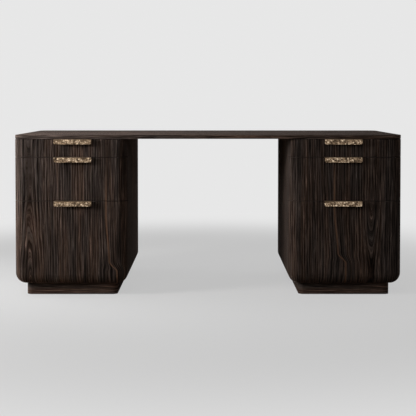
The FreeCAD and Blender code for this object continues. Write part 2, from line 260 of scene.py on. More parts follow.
@dataclass(frozen=True)
class LeafFigure:
    """The figure of a plain-sawn leaf of veneer: arches over its heart, lines beside it, one stray streak.

    The rings of the tree are tubes round its pith. The leaf cuts them at a depth that grows between two
    places on its length, so a ring that shows as two lines beside the heart closes there into an arch.
    Cells are a width and a length in metres, and bends, fade and shade are heights above the bend's top.
    """

    sway: float = 0.014
    sway_cell: Pair = (0.11, 0.55)
    ripple: float = 0.012
    ripple_cell: Pair = (0.035, 0.26)
    shallowest: float = 0.004
    line_rise: Pair = (0.50, 0.92)
    line_fall: Pair = (1.0, 0.94)
    change: float = 0.12
    streaks: tuple[tuple[str, Pair, float], ...] = (
        ("Broad", (0.040, 0.80), 3.0), ("Middle", (0.0105, 0.30), 11.0),
        ("Fine", (0.0034, 0.17), 19.0), ("Hair", (0.0020, 0.10), 27.0))
    pore_cell: Pair = (0.0011, 0.022)
    pore_layer: float = 31.0
    pore_edge: Pair = (0.60, 0.70)
    short_bend: Pair = (-0.048, 0.0)
    long_bend: Pair = (-0.02, 0.24)
    long_bend_share: float = 0.5
    give_width: float = 0.045
    give_share: float = 0.5
    stray_width: float = 0.0034
    stray_fade: Pair = (0.46, 0.26)
    shade_foot: Pair = (-0.045, 0.01)
    shade_top: Pair = (0.22, 0.06)
    shade_offset: float = 0.017
    shade_width: float = 0.011

    def group(self) -> Tree:
        """Builds the group.

        Returns:
            A group that takes grain coordinates in metres, X across the grain and Y along it, and puts out
            the growth lines, streaks of four widths, the stray streak, the shade beside it and the pores.
        """
        settings = ("Seed", "Lines", "Heart", "Shallow", "Deep", "Depth", "Stray", "Bend Top", "Bend")
        results = ("Lines", "Broad", "Middle", "Fine", "Hair", "Stray", "Shade", "Pores")
        made = SharedGroup("leaf figure", {"Grain": "Vector"} | dict.fromkeys(settings, "Float"),
                           dict.fromkeys(results, "Float"))
        g, given = made.graph, made.given
        across, along, _ = g.split(given["Grain"])

        def cells(place: Value, cell: Pair, layer: Value, detail: float = 2.0) -> Socket:
            """Noise in cells drawn out along the grain."""
            return g.noise(g.join(g.over(place, cell[0]), g.over(along, cell[1]), layer), detail)

        slow = cells(across, self.sway_cell, given["Seed"], 1.0)
        swayed = g.plus(across, g.times(g.minus(slow, 0.5), self.sway))

        # The stray streak steps aside below a height near its foot, and its neighbours give way to it.
        below = g.minus(along, given["Bend Top"])
        bent = g.plus(g.fit(below, *self.short_bend, 1.0, 0.0),
                      g.fit(below, *self.long_bend, self.long_bend_share, 0.0))
        step = g.times(bent, given["Bend"])
        path = g.minus(swayed, given["Stray"], step)
        give = g.times(step, g.bell(path, self.give_width), self.give_share)
        wedge = g.times(g.fit(below, *self.shade_foot), g.fit(below, *self.shade_top))

        off = g.minus(swayed, give, given["Heart"])
        depth = g.fit(along, given["Shallow"], given["Deep"], self.shallowest, given["Depth"])
        ripple = cells(across, self.ripple_cell, given["Seed"])
        ring = g.plus(g.math("SQRT", g.plus(g.times(off, off), g.times(depth, depth))),
                      g.times(ripple, self.ripple))
        saw = g.math("FRACT", g.times(ring, given["Lines"]))

        def streaks(cell: Pair, layer: float, detail: float = 2.0) -> Socket:
            """Cells that follow the rings, and change slowly across the leaf."""
            change = g.plus(g.over(across, self.change), g.plus(given["Seed"], layer))
            return cells(ring, cell, change, detail)

        return made.put_out(
            Lines=g.times(g.fit(saw, *self.line_rise), g.fit(saw, *self.line_fall)),
            Stray=g.times(g.bell(path, self.stray_width), g.fit(below, *self.stray_fade)),
            Shade=g.times(g.bell(g.minus(path, self.shade_offset), self.shade_width), wedge),
            Pores=g.fit(streaks(self.pore_cell, self.pore_layer, 1.0), *self.pore_edge),
            **{name: streaks(cell, layer) for name, cell, layer in self.streaks})


def handling_group() -> Tree:
    """Soft cloudiness that hands and cloths leave on a finish.

    Returns:
        A group that takes a place and a size in metres, and puts out a value around 0.5.
    """
    made = SharedGroup("handling", {"Place": "Vector", "Size": "Float"}, {"Cloud": "Float"})
    g, size = made.graph, made.given["Size"]
    scaled = g.wire("ShaderNodeVectorMath", {0: made.given["Place"], 1: g.join(size, size, size)},
                    operation="DIVIDE")
    return made.put_out(Cloud=g.noise(scaled, detail=3.0, roughness=0.6))


@dataclass(frozen=True)
class Groups:
    """The node groups that the finishes share."""

    figure: Tree
    handling: Tree


class Surface:
    """A material with one Principled shader."""

    def __init__(self, name: str, groups: Groups | None = None) -> None:
        """Makes an empty material.

        Args:
            name: the material's name.
            groups: the shared node groups, if it uses them.
        """
        self.groups = groups
        self.material = bpy.data.materials.new(name)
        self.material.use_nodes = True
        self.graph = Graph(self.material.node_tree)
        self.shader = self.material.node_tree.nodes["Principled BSDF"]

    def set(self, **inputs: Value | Colour) -> None:
        """Sets the shader's inputs, with _ for a blank in the name."""
        for name, value in inputs.items():
            self.graph.feed(self.shader.inputs[name.replace("_", " ")], value)

    def place(self) -> Socket:
        """Object coordinates, in metres."""
        return self.graph.wire("ShaderNodeTexCoord", {}, "Object")

    def grain(self) -> Socket:
        """The piece's own grain map, in metres."""
        return self.graph.wire("ShaderNodeUVMap", {}, uv_map=GRAIN_MAP)

    def board(self, run: Run) -> list[Socket]:
        """Object coordinates across a board's grain, through it and along it, in metres."""
        parts = self.graph.split(self.place())
        return [*parts[:run.value], *parts[run.value + 1:], parts[run.value]]

    def turned(self, run: Run) -> Socket:
        """Object coordinates turned so that Y runs along a board's grain."""
        across, through, along = self.board(run)
        return self.graph.join(self.graph.plus(across, through), along, through)

    def cloud(self, size: float) -> Socket:
        """The marks of handling, in patches of a size in metres."""
        return self.graph.group(self.groups.handling, Place=self.place(), Size=size)["Cloud"]


# Finishes

@dataclass(frozen=True)
class Finish:
    """What all finishes share: a name, and a material that is made empty and then wired."""

    name: str

    def material(self, groups: Groups) -> Material:
        """Builds the material.

        Args:
            groups: the shared node groups.

        Returns:
            The material.
        """
        made = Surface(self.name, groups)
        self.wire(made)
        return made.material

    def wire(self, made: Surface) -> None:
        """Wires the empty material, as each finish does in its own way."""
        raise NotImplementedError


@dataclass(frozen=True)
class BurnishedOak(Finish):
    """Oak stained almost black, wire-brushed along the grain and waxed.

    Places on the leaf are in metres, across from the middle of the pedestal and along from the floor. A
    span is where a colour comes in, and a fit says besides how much of it does at each end.
    """

    seed: float
    lines: float = 86.0
    heart: float = 5.0
    shallow: float = 0.02
    deep: float = 0.42
    depth: float = 0.030
    stray: float = 9.0
    bend_top: float = 0.165
    bend: float = 0.036
    run: Run | None = None
    contrast: float = 1.0
    # Painted light: a lift above 1 makes the whole colour lighter, standing in for light that falls on the
    # piece.
    painted_lift: float = 1.0
    shade: float = 0.75
    weights: tuple[tuple[str, float], ...] = (("Broad", 1.5), ("Middle", 1.2), ("Fine", 4.6), ("Hair", 6.5))
    grey: Colour = (0.0338, 0.0269, 0.0242)
    brown: Colour = (0.0403, 0.0258, 0.0196)
    brown_span: Pair = (0.40, 0.62)
    pale: Colour = (0.158, 0.119, 0.100)
    pale_fit: Fit = (0.35, 0.68, 0.22, 0.80)
    warm: Colour = (0.206, 0.113, 0.069)
    warm_fit: Fit = (0.3, 0.6, 0.55, 1.0)
    dark: Colour = (0.0081, 0.0061, 0.0055)
    dark_share: float = 0.5
    patch: float = 0.11
    roughness: Pair = (0.58, 0.68)
    pore_roughness: float = 0.15
    pore_relief: float = 0.5
    line_relief: float = 0.5
    relief: float = 0.45 * MM
    sheen: float = 0.08
    sheen_roughness: float = 0.42
    sheen_tint: Colour = (1.0, 0.84, 0.78)

    def wire(self, made: Surface) -> None:
        """Wires the material.

        Args:
            made: the empty material.
        """
        g = made.graph
        grain = made.grain() if self.run is None else made.turned(self.run)
        figure = g.group(made.groups.figure, Grain=grain, Seed=self.seed, Lines=self.lines,
                         Heart=self.heart, Shallow=self.shallow, Deep=self.deep, Depth=self.depth,
                         Stray=self.stray, Bend_Top=self.bend_top, Bend=self.bend)
        fine, pores = figure["Fine"], figure["Pores"]

        # Light and dark streaks multiply, as stain soaks in by steps, so each adds to a power of e.
        # The painted lift starts the power, as painted light on the whole colour.
        painted_lift = math.log(self.painted_lift)
        power = g.fit(figure["Shade"], 0.0, 1.0, painted_lift, painted_lift - self.shade, "LINEAR")
        for name, weight in self.weights:
            power = g.plus(g.times(g.minus(figure[name], 0.5), weight * self.contrast), power)
        tone = g.math("EXPONENT", power)
        colour = g.mix(g.fit(figure["Broad"], *self.brown_span), self.grey, self.brown)
        colour = g.mix(1.0, colour, g.join(tone, tone, tone), "MULTIPLY")
        light = g.times(figure["Lines"], g.fit(figure["Middle"], *self.pale_fit))
        colour = g.mix(g.times(light, self.contrast), colour, self.pale)
        stray = g.times(figure["Stray"], g.fit(fine, *self.warm_fit))
        colour = g.mix(stray, colour, self.warm)
        colour = g.mix(g.times(pores, self.dark_share), colour, self.dark)
        relief = g.plus(g.minus(fine, g.times(pores, self.pore_relief)), g.times(light, self.line_relief))
        rough = g.plus(g.fit(made.cloud(self.patch), *CLOUDY, *self.roughness),
                       g.times(pores, self.pore_roughness))
        made.set(Base_Color=colour, Roughness=rough, Normal=g.bump(relief, self.relief),
                 Specular_IOR_Level=0.0, Sheen_Weight=self.sheen, Sheen_Roughness=self.sheen_roughness,
                 Sheen_Tint=self.sheen_tint)


@dataclass(frozen=True)
class PaleWood(Finish):
    """Clear-lacquered maple, as drawer boxes are made of, with end grain that shows darker.

    Cells are a width and a length in metres. Spans and fits are as in the oak.
    """

    run: Run
    seed: float = 0.0
    light: Colour = (0.45, 0.33, 0.205)
    brown: Colour = (0.33, 0.21, 0.115)
    broad_cell: Pair = (0.035, 0.5)
    broad_dimming: float = 0.86
    streak_cell: Pair = (0.006, 0.16)
    streak_fit: Fit = (0.45, 0.75, 0.0, 0.45)
    fleck_cell: Pair = (0.0012, 0.012)
    fleck_span: Pair = (0.58, 0.70)
    fleck_share: float = 0.22
    end_span: Pair = (0.7, 0.9)
    end_share: float = 0.48
    end_dimming: float = 0.62
    patch: float = 0.08
    roughness: Pair = (0.42, 0.54)
    relief: float = 0.18 * MM

    def wire(self, made: Surface) -> None:
        """Wires the material.

        Args:
            made: the empty material.
        """
        g = made.graph
        across, through, along = made.board(self.run)

        def cells(cell: Pair, detail: float, drift: float) -> Socket:
            """Noise in cells drawn out along the grain."""
            length = g.plus(g.over(along, cell[1]), drift)
            return g.noise(g.join(g.over(across, cell[0]), g.over(through, cell[0]), length), detail)

        streak = cells(self.streak_cell, 3.0, self.seed)
        slow = cells(self.broad_cell, 2.0, self.seed)
        colour = g.mix(g.fit(slow, *CLOUDY), self.light, dimmed(self.light, self.broad_dimming))
        colour = g.mix(g.fit(streak, *self.streak_fit), colour, self.brown)
        flecks = g.fit(cells(self.fleck_cell, 1.0, 0.0), *self.fleck_span)
        colour = g.mix(g.times(flecks, self.fleck_share), colour, self.brown)
        normal = g.split(g.wire("ShaderNodeNewGeometry", {}, "Normal"))
        end = g.fit(g.math("ABSOLUTE", normal[self.run.value]), *self.end_span)
        colour = g.mix(g.times(end, self.end_share), colour, dimmed(self.brown, self.end_dimming))
        made.set(Base_Color=colour, Roughness=g.fit(made.cloud(self.patch), *CLOUDY, *self.roughness),
                 Normal=g.bump(streak, self.relief), Specular_IOR_Level=0.5)


@dataclass(frozen=True)
class CastBronze(Finish):
    """Sand-cast bronze: brown in its hollows, rubbed bright on its nuggets."""

    hollow: Colour = (0.054, 0.036, 0.023)
    body: Colour = (0.275, 0.190, 0.119)
    rubbed: Colour = (0.75, 0.595, 0.425)
    body_span: Pair = (0.12, 0.50)
    rubbed_span: Pair = (0.45, 0.95)
    worn_span: Pair = (0.1, 0.9)
    patch: float = 9.0 * MM
    patch_share: float = 0.5
    roughness: Pair = (0.52, 0.27)
    grit: float = 1.4 * MM
    relief: float = 0.25 * MM

    def wire(self, made: Surface) -> None:
        """Wires the material.

        Args:
            made: the empty material.
        """
        g = made.graph
        proud = g.wire("ShaderNodeAttribute", {}, "Fac", attribute_name=RELIEF_LAYER)
        cloud = made.cloud(self.patch)
        worn = g.plus(proud, g.times(g.minus(cloud, 0.5), self.patch_share))
        colour = g.mix(g.fit(worn, *self.body_span), self.hollow, self.body)
        colour = g.mix(g.fit(worn, *self.rubbed_span), colour, self.rubbed)
        made.set(Base_Color=colour, Metallic=1.0, Roughness=g.fit(worn, *self.worn_span, *self.roughness),
                 Normal=g.bump(made.cloud(self.grit), self.relief))


@dataclass(frozen=True)
class Metal(Finish):
    """A plain metal with fine lines along one way, from rolling or drawing."""

    colour: Colour
    roughness: Pair
    metallic: float = 1.0
    run: Run = Run.DEEP
    line: float = 0.8 * MM
    stretch: float = 60.0
    line_roughness: float = 0.06
    patch: float = 0.03
    tarnish: float = 0.78
    tarnish_span: Pair = (0.3, 0.75)
    relief: float = 0.03 * MM

    def wire(self, made: Surface) -> None:
        """Wires the material.

        Args:
            made: the empty material.
        """
        g = made.graph
        across, along, third = g.split(made.turned(self.run))
        lines = g.noise(g.join(g.over(across, self.line), g.over(along, self.line * self.stretch),
                               g.over(third, self.line)), 1.0)
        cloud = made.cloud(self.patch)
        colour = g.mix(g.fit(cloud, *self.tarnish_span), self.colour, dimmed(self.colour, self.tarnish))
        rough = g.plus(g.fit(cloud, *CLOUDY, *self.roughness), g.times(lines, self.line_roughness))
        made.set(Base_Color=colour, Metallic=self.metallic, Roughness=rough,
                 Normal=g.bump(lines, self.relief))


@dataclass(frozen=True)
class Nylon(Finish):
    """Dark moulded nylon, scuffed where it slides."""

    colour: Colour = (0.022, 0.020, 0.018)
    scuffed: float = 2.6
    scuff_span: Pair = (0.4, 0.75)
    patch: float = 4.0 * MM
    roughness: Pair = (0.42, 0.6)
    relief: float = 0.05 * MM

    def wire(self, made: Surface) -> None:
        """Wires the material.

        Args:
            made: the empty material.
        """
        g = made.graph
        cloud = made.cloud(self.patch)
        colour = g.mix(g.fit(cloud, *self.scuff_span), self.colour, dimmed(self.colour, self.scuffed))
        made.set(Base_Color=colour, Roughness=g.fit(cloud, *CLOUDY, *self.roughness),
                 Normal=g.bump(cloud, self.relief))


class Palette:
    """Every finish of the desk, each built once."""

    def __init__(self) -> None:
        """Builds the node groups and the materials."""
        groups = Groups(LeafFigure().group(), handling_group())
        self.case = {
            Side.LEFT: BurnishedOak("oak_left_pedestal", seed=11.0, heart=-0.194, shallow=-0.05, deep=0.50,
                                    depth=0.036, stray=0.166, bend_top=0.165, sheen=0.13).material(groups),
            Side.RIGHT: BurnishedOak("oak_right_pedestal", seed=9.0, heart=0.120, shallow=0.50, deep=0.12,
                                     stray=-0.053, bend_top=0.205, sheen=0.13).material(groups)}
        # The desktop and the plinth are the case's oak, painted lighter by their lifts: painted light for
        # the light that falls on the top and on the plinth.
        self.desktop = BurnishedOak("oak_desktop", seed=13.0, heart=0.06, shallow=-1.3, deep=1.3,
                                    depth=0.16, painted_lift=1.75).material(groups)
        self.plinth = BurnishedOak("oak_plinth", seed=17.0, contrast=0.8, painted_lift=2.0).material(groups)
        self.panel = BurnishedOak("oak_panel", seed=19.0, run=Run.DEEP).material(groups)
        self.tray_side = PaleWood("maple_tray_side", Run.DEEP, 1.0).material(groups)
        self.tray_end = PaleWood("maple_tray_end", Run.ALONG, 4.0).material(groups)
        self.tray_bottom = PaleWood("maple_tray_bottom", Run.ALONG, 8.0).material(groups)
        self.bronze = CastBronze("cast_bronze").material(groups)
        self.zinc = Metal("zinc_steel", (0.44, 0.45, 0.46), (0.29, 0.40)).material(groups)
        self.powder = Metal("black_powder_coat", (0.018, 0.018, 0.018), (0.45, 0.56), metallic=0.0,
                            run=Run.ALONG, line=2.0 * MM).material(groups)
        self.fastener = Metal("plated_fastener", (0.50, 0.48, 0.43), (0.29, 0.40),
                              run=Run.UPRIGHT).material(groups)
        self.nylon = Nylon("nylon").material(groups)


# Shaping

def new_piece(name: str, bm: BMesh, body: str, slot: str,
              *materials: Material) -> Object:
    """Makes an object of a finished bmesh, and sets it riding on its body.

    Args:
        name: the piece's name.
        bm: its mesh, in place, which is freed.
        body: the body that carries it.
        slot: the record's material slot, which is not used.
        materials: its materials in order.

    Returns:
        The object.
    """
    mesh = bpy.data.meshes.new(name)
    bm.to_mesh(mesh)
    bm.free()
    for material in materials:
        mesh.materials.append(material)
    piece = bpy.data.objects.new(name, mesh)
    bpy.context.scene.collection.objects.link(piece)
    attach(piece, body)
    log.info("%s: %d faces on %s", name, len(mesh.polygons), body)
    return piece


def smooth(piece: Object, angle: float = 35.0, weighted: bool = True) -> None:
    """Shades a piece smooth.

    Args:
        piece: what to shade.
        angle: the sharpest turn that is smoothed over, in degrees.
        weighted: keeps its large faces flat.
    """
    piece.data.shade_smooth()
    piece.data.set_sharp_from_angle(angle=math.radians(angle))
    if weighted:
        piece.modifiers.new("large faces flat", "WEIGHTED_NORMAL").keep_sharp = True


def dress(node: Object, material: Material) -> None:
    """Gives a node its finish.

    Args:
        node: the node's object.
        material: the finish.
    """
    if not node.material_slots:
        node.data.materials.append(material)
    for slot in node.material_slots:
        slot.material = material


@dataclass(frozen=True)
class RoundedPlan:
    """A rectangle with rounded corners, seen from above, that veneer is wrapped around."""

    low: Vector
    high: Vector
    radius: float

    def core(self, point: Vector) -> tuple[float, float]:
        """The place nearest to a point in the rectangle that the corners are centred on."""
        return (clamp(point.x, self.low.x + self.radius, self.high.x - self.radius),
                clamp(point.y, self.low.y + self.radius, self.high.y - self.radius))

    def unroll(self, point: Vector) -> float:
        """How far round the plan a point lies from the middle of the front.

        Args:
            point: the point, whose height doesn't count.

        Returns:
            The way round, negative to the left.
        """
        core_x, core_y = self.core(point)
        middle = (self.low.x + self.high.x) / 2
        turn = math.atan2(point.x - core_x, core_y - point.y)
        if abs(point.x - core_x) < SPECK and abs(core_y - point.y) < SPECK:
            return point.x - middle
        hand = 1.0 if turn > 0 or (turn == 0 and core_x > middle) else -1.0
        reach = (self.high.x - self.low.x) / 2 - self.radius
        beyond = abs(turn) * self.radius + core_y - self.low.y - self.radius
        front = (core_x - middle) * hand
        if abs(turn) > math.pi / 2 + HAIR:
            front = 2 * reach - front
        return hand * (front + beyond)


def ease_edges(bm: BMesh, edges: Iterable[bmesh.types.BMEdge], width: float) -> None:
    """Rounds edges off over a width."""
    bmesh.ops.bevel(bm, geom=list(edges), offset=width, offset_type="OFFSET", segments=2, profile=0.5,
                    affect="EDGES", clamp_overlap=True, material=-1)


def tidy_up(bm: BMesh, ease: float) -> None:
    """Merges a copy of a node's mesh, clears its flat seams and eases its long outer edges.

    Args:
        bm: the copy.
        ease: how wide the eased edges are, or 0 to leave them sharp.
    """
    bmesh.ops.remove_doubles(bm, verts=bm.verts, dist=MERGED)
    bmesh.ops.dissolve_limit(bm, angle_limit=FLAT, verts=bm.verts, edges=bm.edges)
    if ease:
        ease_edges(bm, [edge for edge in bm.edges if edge.is_manifold and edge.is_convex
                        and edge.calc_face_angle() > SHARP and edge.calc_length() > LONG], ease)


@dataclass(frozen=True)
class Board:
    """A wooden piece made from its node: the same shape with its sharp edges eased and its grain mapped."""

    node: str
    body: str
    slot: str = "case_wood"
    ease: float = 0.7 * MM

    def build(self, grain: GrainMap, material: Material) -> None:
        """Builds the board over its node.

        Args:
            grain: gives a corner's grain coordinates from its place and its face's normal.
            material: the finish.
        """
        bm = bmesh.new()
        bm.from_mesh(bpy.data.objects[self.node].data)
        tidy_up(bm, self.ease)
        layer = bm.loops.layers.uv.new(GRAIN_MAP)
        for face in bm.faces:
            for loop in face.loops:
                loop[layer].uv = grain(loop.vert.co, face.normal)
        piece = new_piece(self.node + "_oak", bm, self.body, self.slot, material)
        smooth(piece)
        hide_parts(self.node)


@dataclass(frozen=True)
class GapStrip:
    """A dark nylon strip that lies on the top edge of a case board and closes the shadow gap under the
    slab: partly a spacer, partly painted shade where the gap shows only shade.
    """

    node: str
    ceiling: float
    inset: float = 1.0 * MM
    slack: float = 0.05 * MM
    top_band: float = 0.1 * MM

    def build(self, material: Material) -> None:
        """Builds the strip over its board's top edge.

        Args:
            material: the finish.
        """
        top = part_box(self.node)[1].z
        bm = bmesh.new()
        bm.from_mesh(bpy.data.objects[self.node].data)
        tidy_up(bm, 0.0)
        others = [face for face in bm.faces
                  if face.normal.z < UPWARD or face.calc_center_median().z < top - self.top_band]
        bmesh.ops.delete(bm, geom=others, context="FACES")
        rim = bmesh.ops.inset_region(bm, faces=bm.faces, thickness=self.inset, use_boundary=True,
                                     use_even_offset=True)["faces"]
        bmesh.ops.delete(bm, geom=rim, context="FACES")
        raised = bmesh.ops.extrude_face_region(bm, geom=bm.faces, use_keep_orig=True)["geom"]
        bmesh.ops.translate(bm, vec=(0.0, 0.0, self.ceiling - self.slack - top),
                            verts=[item for item in raised if isinstance(item, BMVert)])
        bmesh.ops.recalc_face_normals(bm, faces=bm.faces)
        new_piece(self.node + "_gap_strip", bm, "root", "nylon", material)


# Sub-assemblies

@dataclass
class Desktop:
    """The slab, with the bars and the fixings in its underside."""

    plan: RoundedPlan
    nodes: dict[str, Object]
    palette: Palette
    banding: float = 25.0 * MM

    def grain(self, place: Vector, normal: Vector) -> tuple[float, float]:
        """Grain along the desk on both faces, and along the banding on the edge, cut further up the leaf.

        Args:
            place: a corner of a face.
            normal: the face's normal.

        Returns:
            How far across and along the grain the corner lies.
        """
        if abs(normal.z) > LYING:
            return place.y, place.x
        return self.plan.low.y - self.banding - (self.plan.high.z - place.z), self.plan.unroll(place)

    def build(self) -> None:
        """Builds the slab and dresses what is let into it."""
        Board("desktop", "root", ease=0.0).build(self.grain, self.palette.desktop)
        dress(self.nodes["stiffening_bars"], self.palette.powder)
        for fixing in ("top_bolts", "top_inserts"):
            dress(self.nodes[fixing], self.palette.fastener)


@dataclass
class EdgePull:
    """A cast edge pull: a flange on the front's top edge, and a plate that hangs from it.

    The plate is a web with nuggets on it, in cells of two sizes, and its ragged rim rolls back.
    """

    node: str
    body: str
    palette: Palette
    seed: float
    pitch: float = 1.05 * MM
    corner: float = 8.0 * MM
    plate: float = 4.0 * MM
    web: float = 1.7 * MM
    rim: float = 1.6 * MM
    rim_share: float = 0.55
    ragged: float = 0.9 * MM
    ragged_cell: float = 6.0 * MM
    ragged_seed: float = 40.0
    ragged_drop: float = 0.9
    cell: float = 8.5 * MM
    small_share: float = 0.47
    small_seed: float = 9.0
    weights: Pair = (0.72, 0.28)
    steepness: float = 1.9
    roundness: float = 0.95
    least: float = 0.55
    shuffle: float = 7.3
    fullness: float = 1.25
    flange: float = 2.5 * MM
    flange_lap: float = 0.6
    flange_ease: float = 0.4 * MM
    flange_wear: float = 0.45
    low: Vector = field(init=False)
    high: Vector = field(init=False)
    back: float = field(init=False)

    def __post_init__(self) -> None:
        """Measures the pull, and finds the plate's back."""
        self.low, self.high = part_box(self.node)
        self.back = self.low.y + self.plate

    def relief(self, x: float, z: float) -> float:
        """How proud the casting stands at a point of its face.

        Args:
            x: the point's place along the desk.
            z: its height.

        Returns:
            From 0 in a crevice to 1 on a nugget's crown.
        """
        total = 0.0
        sizes = ((self.cell, self.seed), (self.cell * self.small_share, self.seed + self.small_seed))
        for (size, seed), weight in zip(sizes, self.weights):
            near, cells = noise.voronoi(Vector((x / size, z / size, seed)))
            edge = min(1.0, (near[1] - near[0]) * self.steepness)
            crown = math.sqrt(max(0.0, 1.0 - min(1.0, near[0] * self.roundness) ** 2))
            height = self.least + (1.0 - self.least) * noise.cell(cells[0] * self.shuffle)
            total += weight * height * crown * math.sqrt(edge * (2.0 - edge))
        return min(1.0, total * self.fullness)

    def inside(self, x: float, z: float) -> tuple[float, float, float]:
        """Moves a point of the plate inside its rounded lower corners.

        Args:
            x: the point's place along the desk.
            z: its height.

        Returns:
            Its new place and height, and how far it then lies from the rim.
        """
        core_x = clamp(x, self.low.x + self.corner, self.high.x - self.corner)
        core_z = max(z, self.low.z + self.corner)
        reach = math.hypot(x - core_x, z - core_z)
        if reach > self.corner:
            share = self.corner / reach
            x, z = core_x + (x - core_x) * share, core_z + (z - core_z) * share
            reach = self.corner
        sides = min(x - self.low.x, self.high.x - x, z - self.low.z, self.high.z - z)
        return x, z, min(sides, self.corner - reach)

    def plate_mesh(self, bm: BMesh) -> list[BMVert]:
        """Adds the nugget plate: a grid, cut to its outline, raised in relief and closed at the back.

        Args:
            bm: the mesh to add to.

        Returns:
            The vertices of the raised face.
        """
        wide, tall = self.high.x - self.low.x, self.high.z - self.low.z
        face = bmesh.ops.create_grid(bm, x_segments=round(wide / self.pitch),
                                     y_segments=round(tall / self.pitch), size=0.5)["verts"]
        for vert in face:
            x, z, margin = self.inside(self.low.x + (vert.co.x + 0.5) * wide,
                                       self.low.z + (vert.co.y + 0.5) * tall)
            full = clamp(margin / self.rim, 0.0, 1.0)
            full = math.sqrt(full * (2.0 - full))
            raised = (self.plate - self.web) * self.relief(x, z) * full
            height = self.web * (self.rim_share + (1.0 - self.rim_share) * full) + raised
            wander = noise.noise(Vector((x / self.ragged_cell, z / self.ragged_cell,
                                         self.seed + self.ragged_seed))) * 0.5 + 0.5
            pulled = (1.0 - full) * self.ragged * wander
            x += pulled if x < self.low.x + wide / 2 else -pulled
            z += pulled * (self.ragged_drop if z < self.low.z + tall / 2 else -self.ragged_drop)
            vert.co = Vector((x, self.back - height, z))
        rims = [edge for edge in bm.edges if edge.is_boundary]
        walls = bmesh.ops.extrude_edge_only(bm, edges=rims)["geom"]
        for vert in (item for item in walls if isinstance(item, BMVert)):
            vert.co.y = self.back
        bmesh.ops.edgeloop_fill(bm, edges=[edge for edge in bm.edges if edge.is_boundary])
        return face

    def build(self) -> None:
        """Builds the plate, and the flange that laps into it, over the pull's node."""
        bm = bmesh.new()
        layer = bm.verts.layers.float.new(RELIEF_LAYER)
        face = self.plate_mesh(bm)
        for vert in bm.verts:
            vert[layer] = self.flange_wear
        for vert in face:
            vert[layer] = max(0.0, (self.back - vert.co.y - self.web) / (self.plate - self.web))
        bmesh.ops.recalc_face_normals(bm, faces=bm.faces)
        low = Vector((self.low.x + self.ragged, self.back - self.flange_lap * self.web,
                      self.high.z - self.flange))
        high = self.high - Vector((self.ragged, 0.0, 0.0))
        place = Matrix.LocRotScale((low + high) / 2, None, high - low)
        bar = bmesh.ops.create_cube(bm, size=1.0, matrix=place)["verts"]
        for vert in bar:
            vert[layer] = self.flange_wear
        ease_edges(bm, dict.fromkeys(edge for vert in bar for edge in vert.link_edges), self.flange_ease)
        piece = new_piece(self.node + "_casting", bm, self.body, "cast_bronze", self.palette.bronze)
        smooth(piece, 50.0, weighted=False)
        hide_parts(self.node)


@dataclass
class Tray:
    """A drawer box: side boards with tails, end boards with pins, and a bottom panel."""

    name: str
    body: str
    nodes: dict[str, Object]
    palette: Palette
    board: float = 12.0 * MM
    tail_pitch: float = 35.0 * MM
    pin: float = 7.0 * MM
    slope: float = 1 / 6
    ease: float = 0.35 * MM
    slack: float = 0.05 * MM
    probe: float = 0.3 * MM

    def in_side_board(self, place: Vector, low: Vector, high: Vector) -> bool:
        """Whether a point of the tray belongs to a side board, with its tails, and not to an end board.

        Args:
            place: the point.
            low: the tray's lowest corner.
            high: its highest corner.

        Returns:
            True for a side board.
        """
        if min(place.x - low.x, high.x - place.x) > self.board + self.slack:
            return False
        end = min(place.y - low.y, high.y - place.y)
        if end > self.board:
            return True
        height = high.z - low.z
        pitch = height / max(2, round(height / self.tail_pitch))
        off = abs((place.z - low.z) % pitch - pitch / 2)
        return off < (pitch - self.pin) / 2 - end * self.slope

    def boards(self, node: str, sides: bool) -> bpy.types.Mesh:
        """One pair of the box's boards, as a mesh of its own, so that the pairs stay apart where they meet.

        Args:
            node: the box's node.
            sides: whether it is the pair with the tails.

        Returns:
            The mesh, closed and eased.
        """
        low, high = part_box(node)
        bm = bmesh.new()
        bm.from_mesh(self.nodes[node].data)
        others = [face for face in bm.faces if sides is not self.in_side_board(
            face.calc_center_median() - face.normal * self.probe, low, high)]
        bmesh.ops.delete(bm, geom=others, context="FACES")
        tidy_up(bm, self.ease)
        for face in bm.faces:
            face.material_index = 0 if sides else 1
        pair = bpy.data.meshes.new(node + ("_sides" if sides else "_ends"))
        bm.to_mesh(pair)
        bm.free()
        return pair

    def build(self) -> None:
        """Builds the box over its node with the grain of each board, and dresses the bottom."""
        node = self.name + "_tray"
        bm = bmesh.new()
        for sides in (True, False):
            pair = self.boards(node, sides)
            bm.from_mesh(pair)
            bpy.data.meshes.remove(pair)
        piece = new_piece(node + "_maple", bm, self.body, "tray_wood", self.palette.tray_side,
                          self.palette.tray_end)
        smooth(piece)
        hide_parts(node)
        dress(self.nodes[node + "_bottom"], self.palette.tray_bottom)


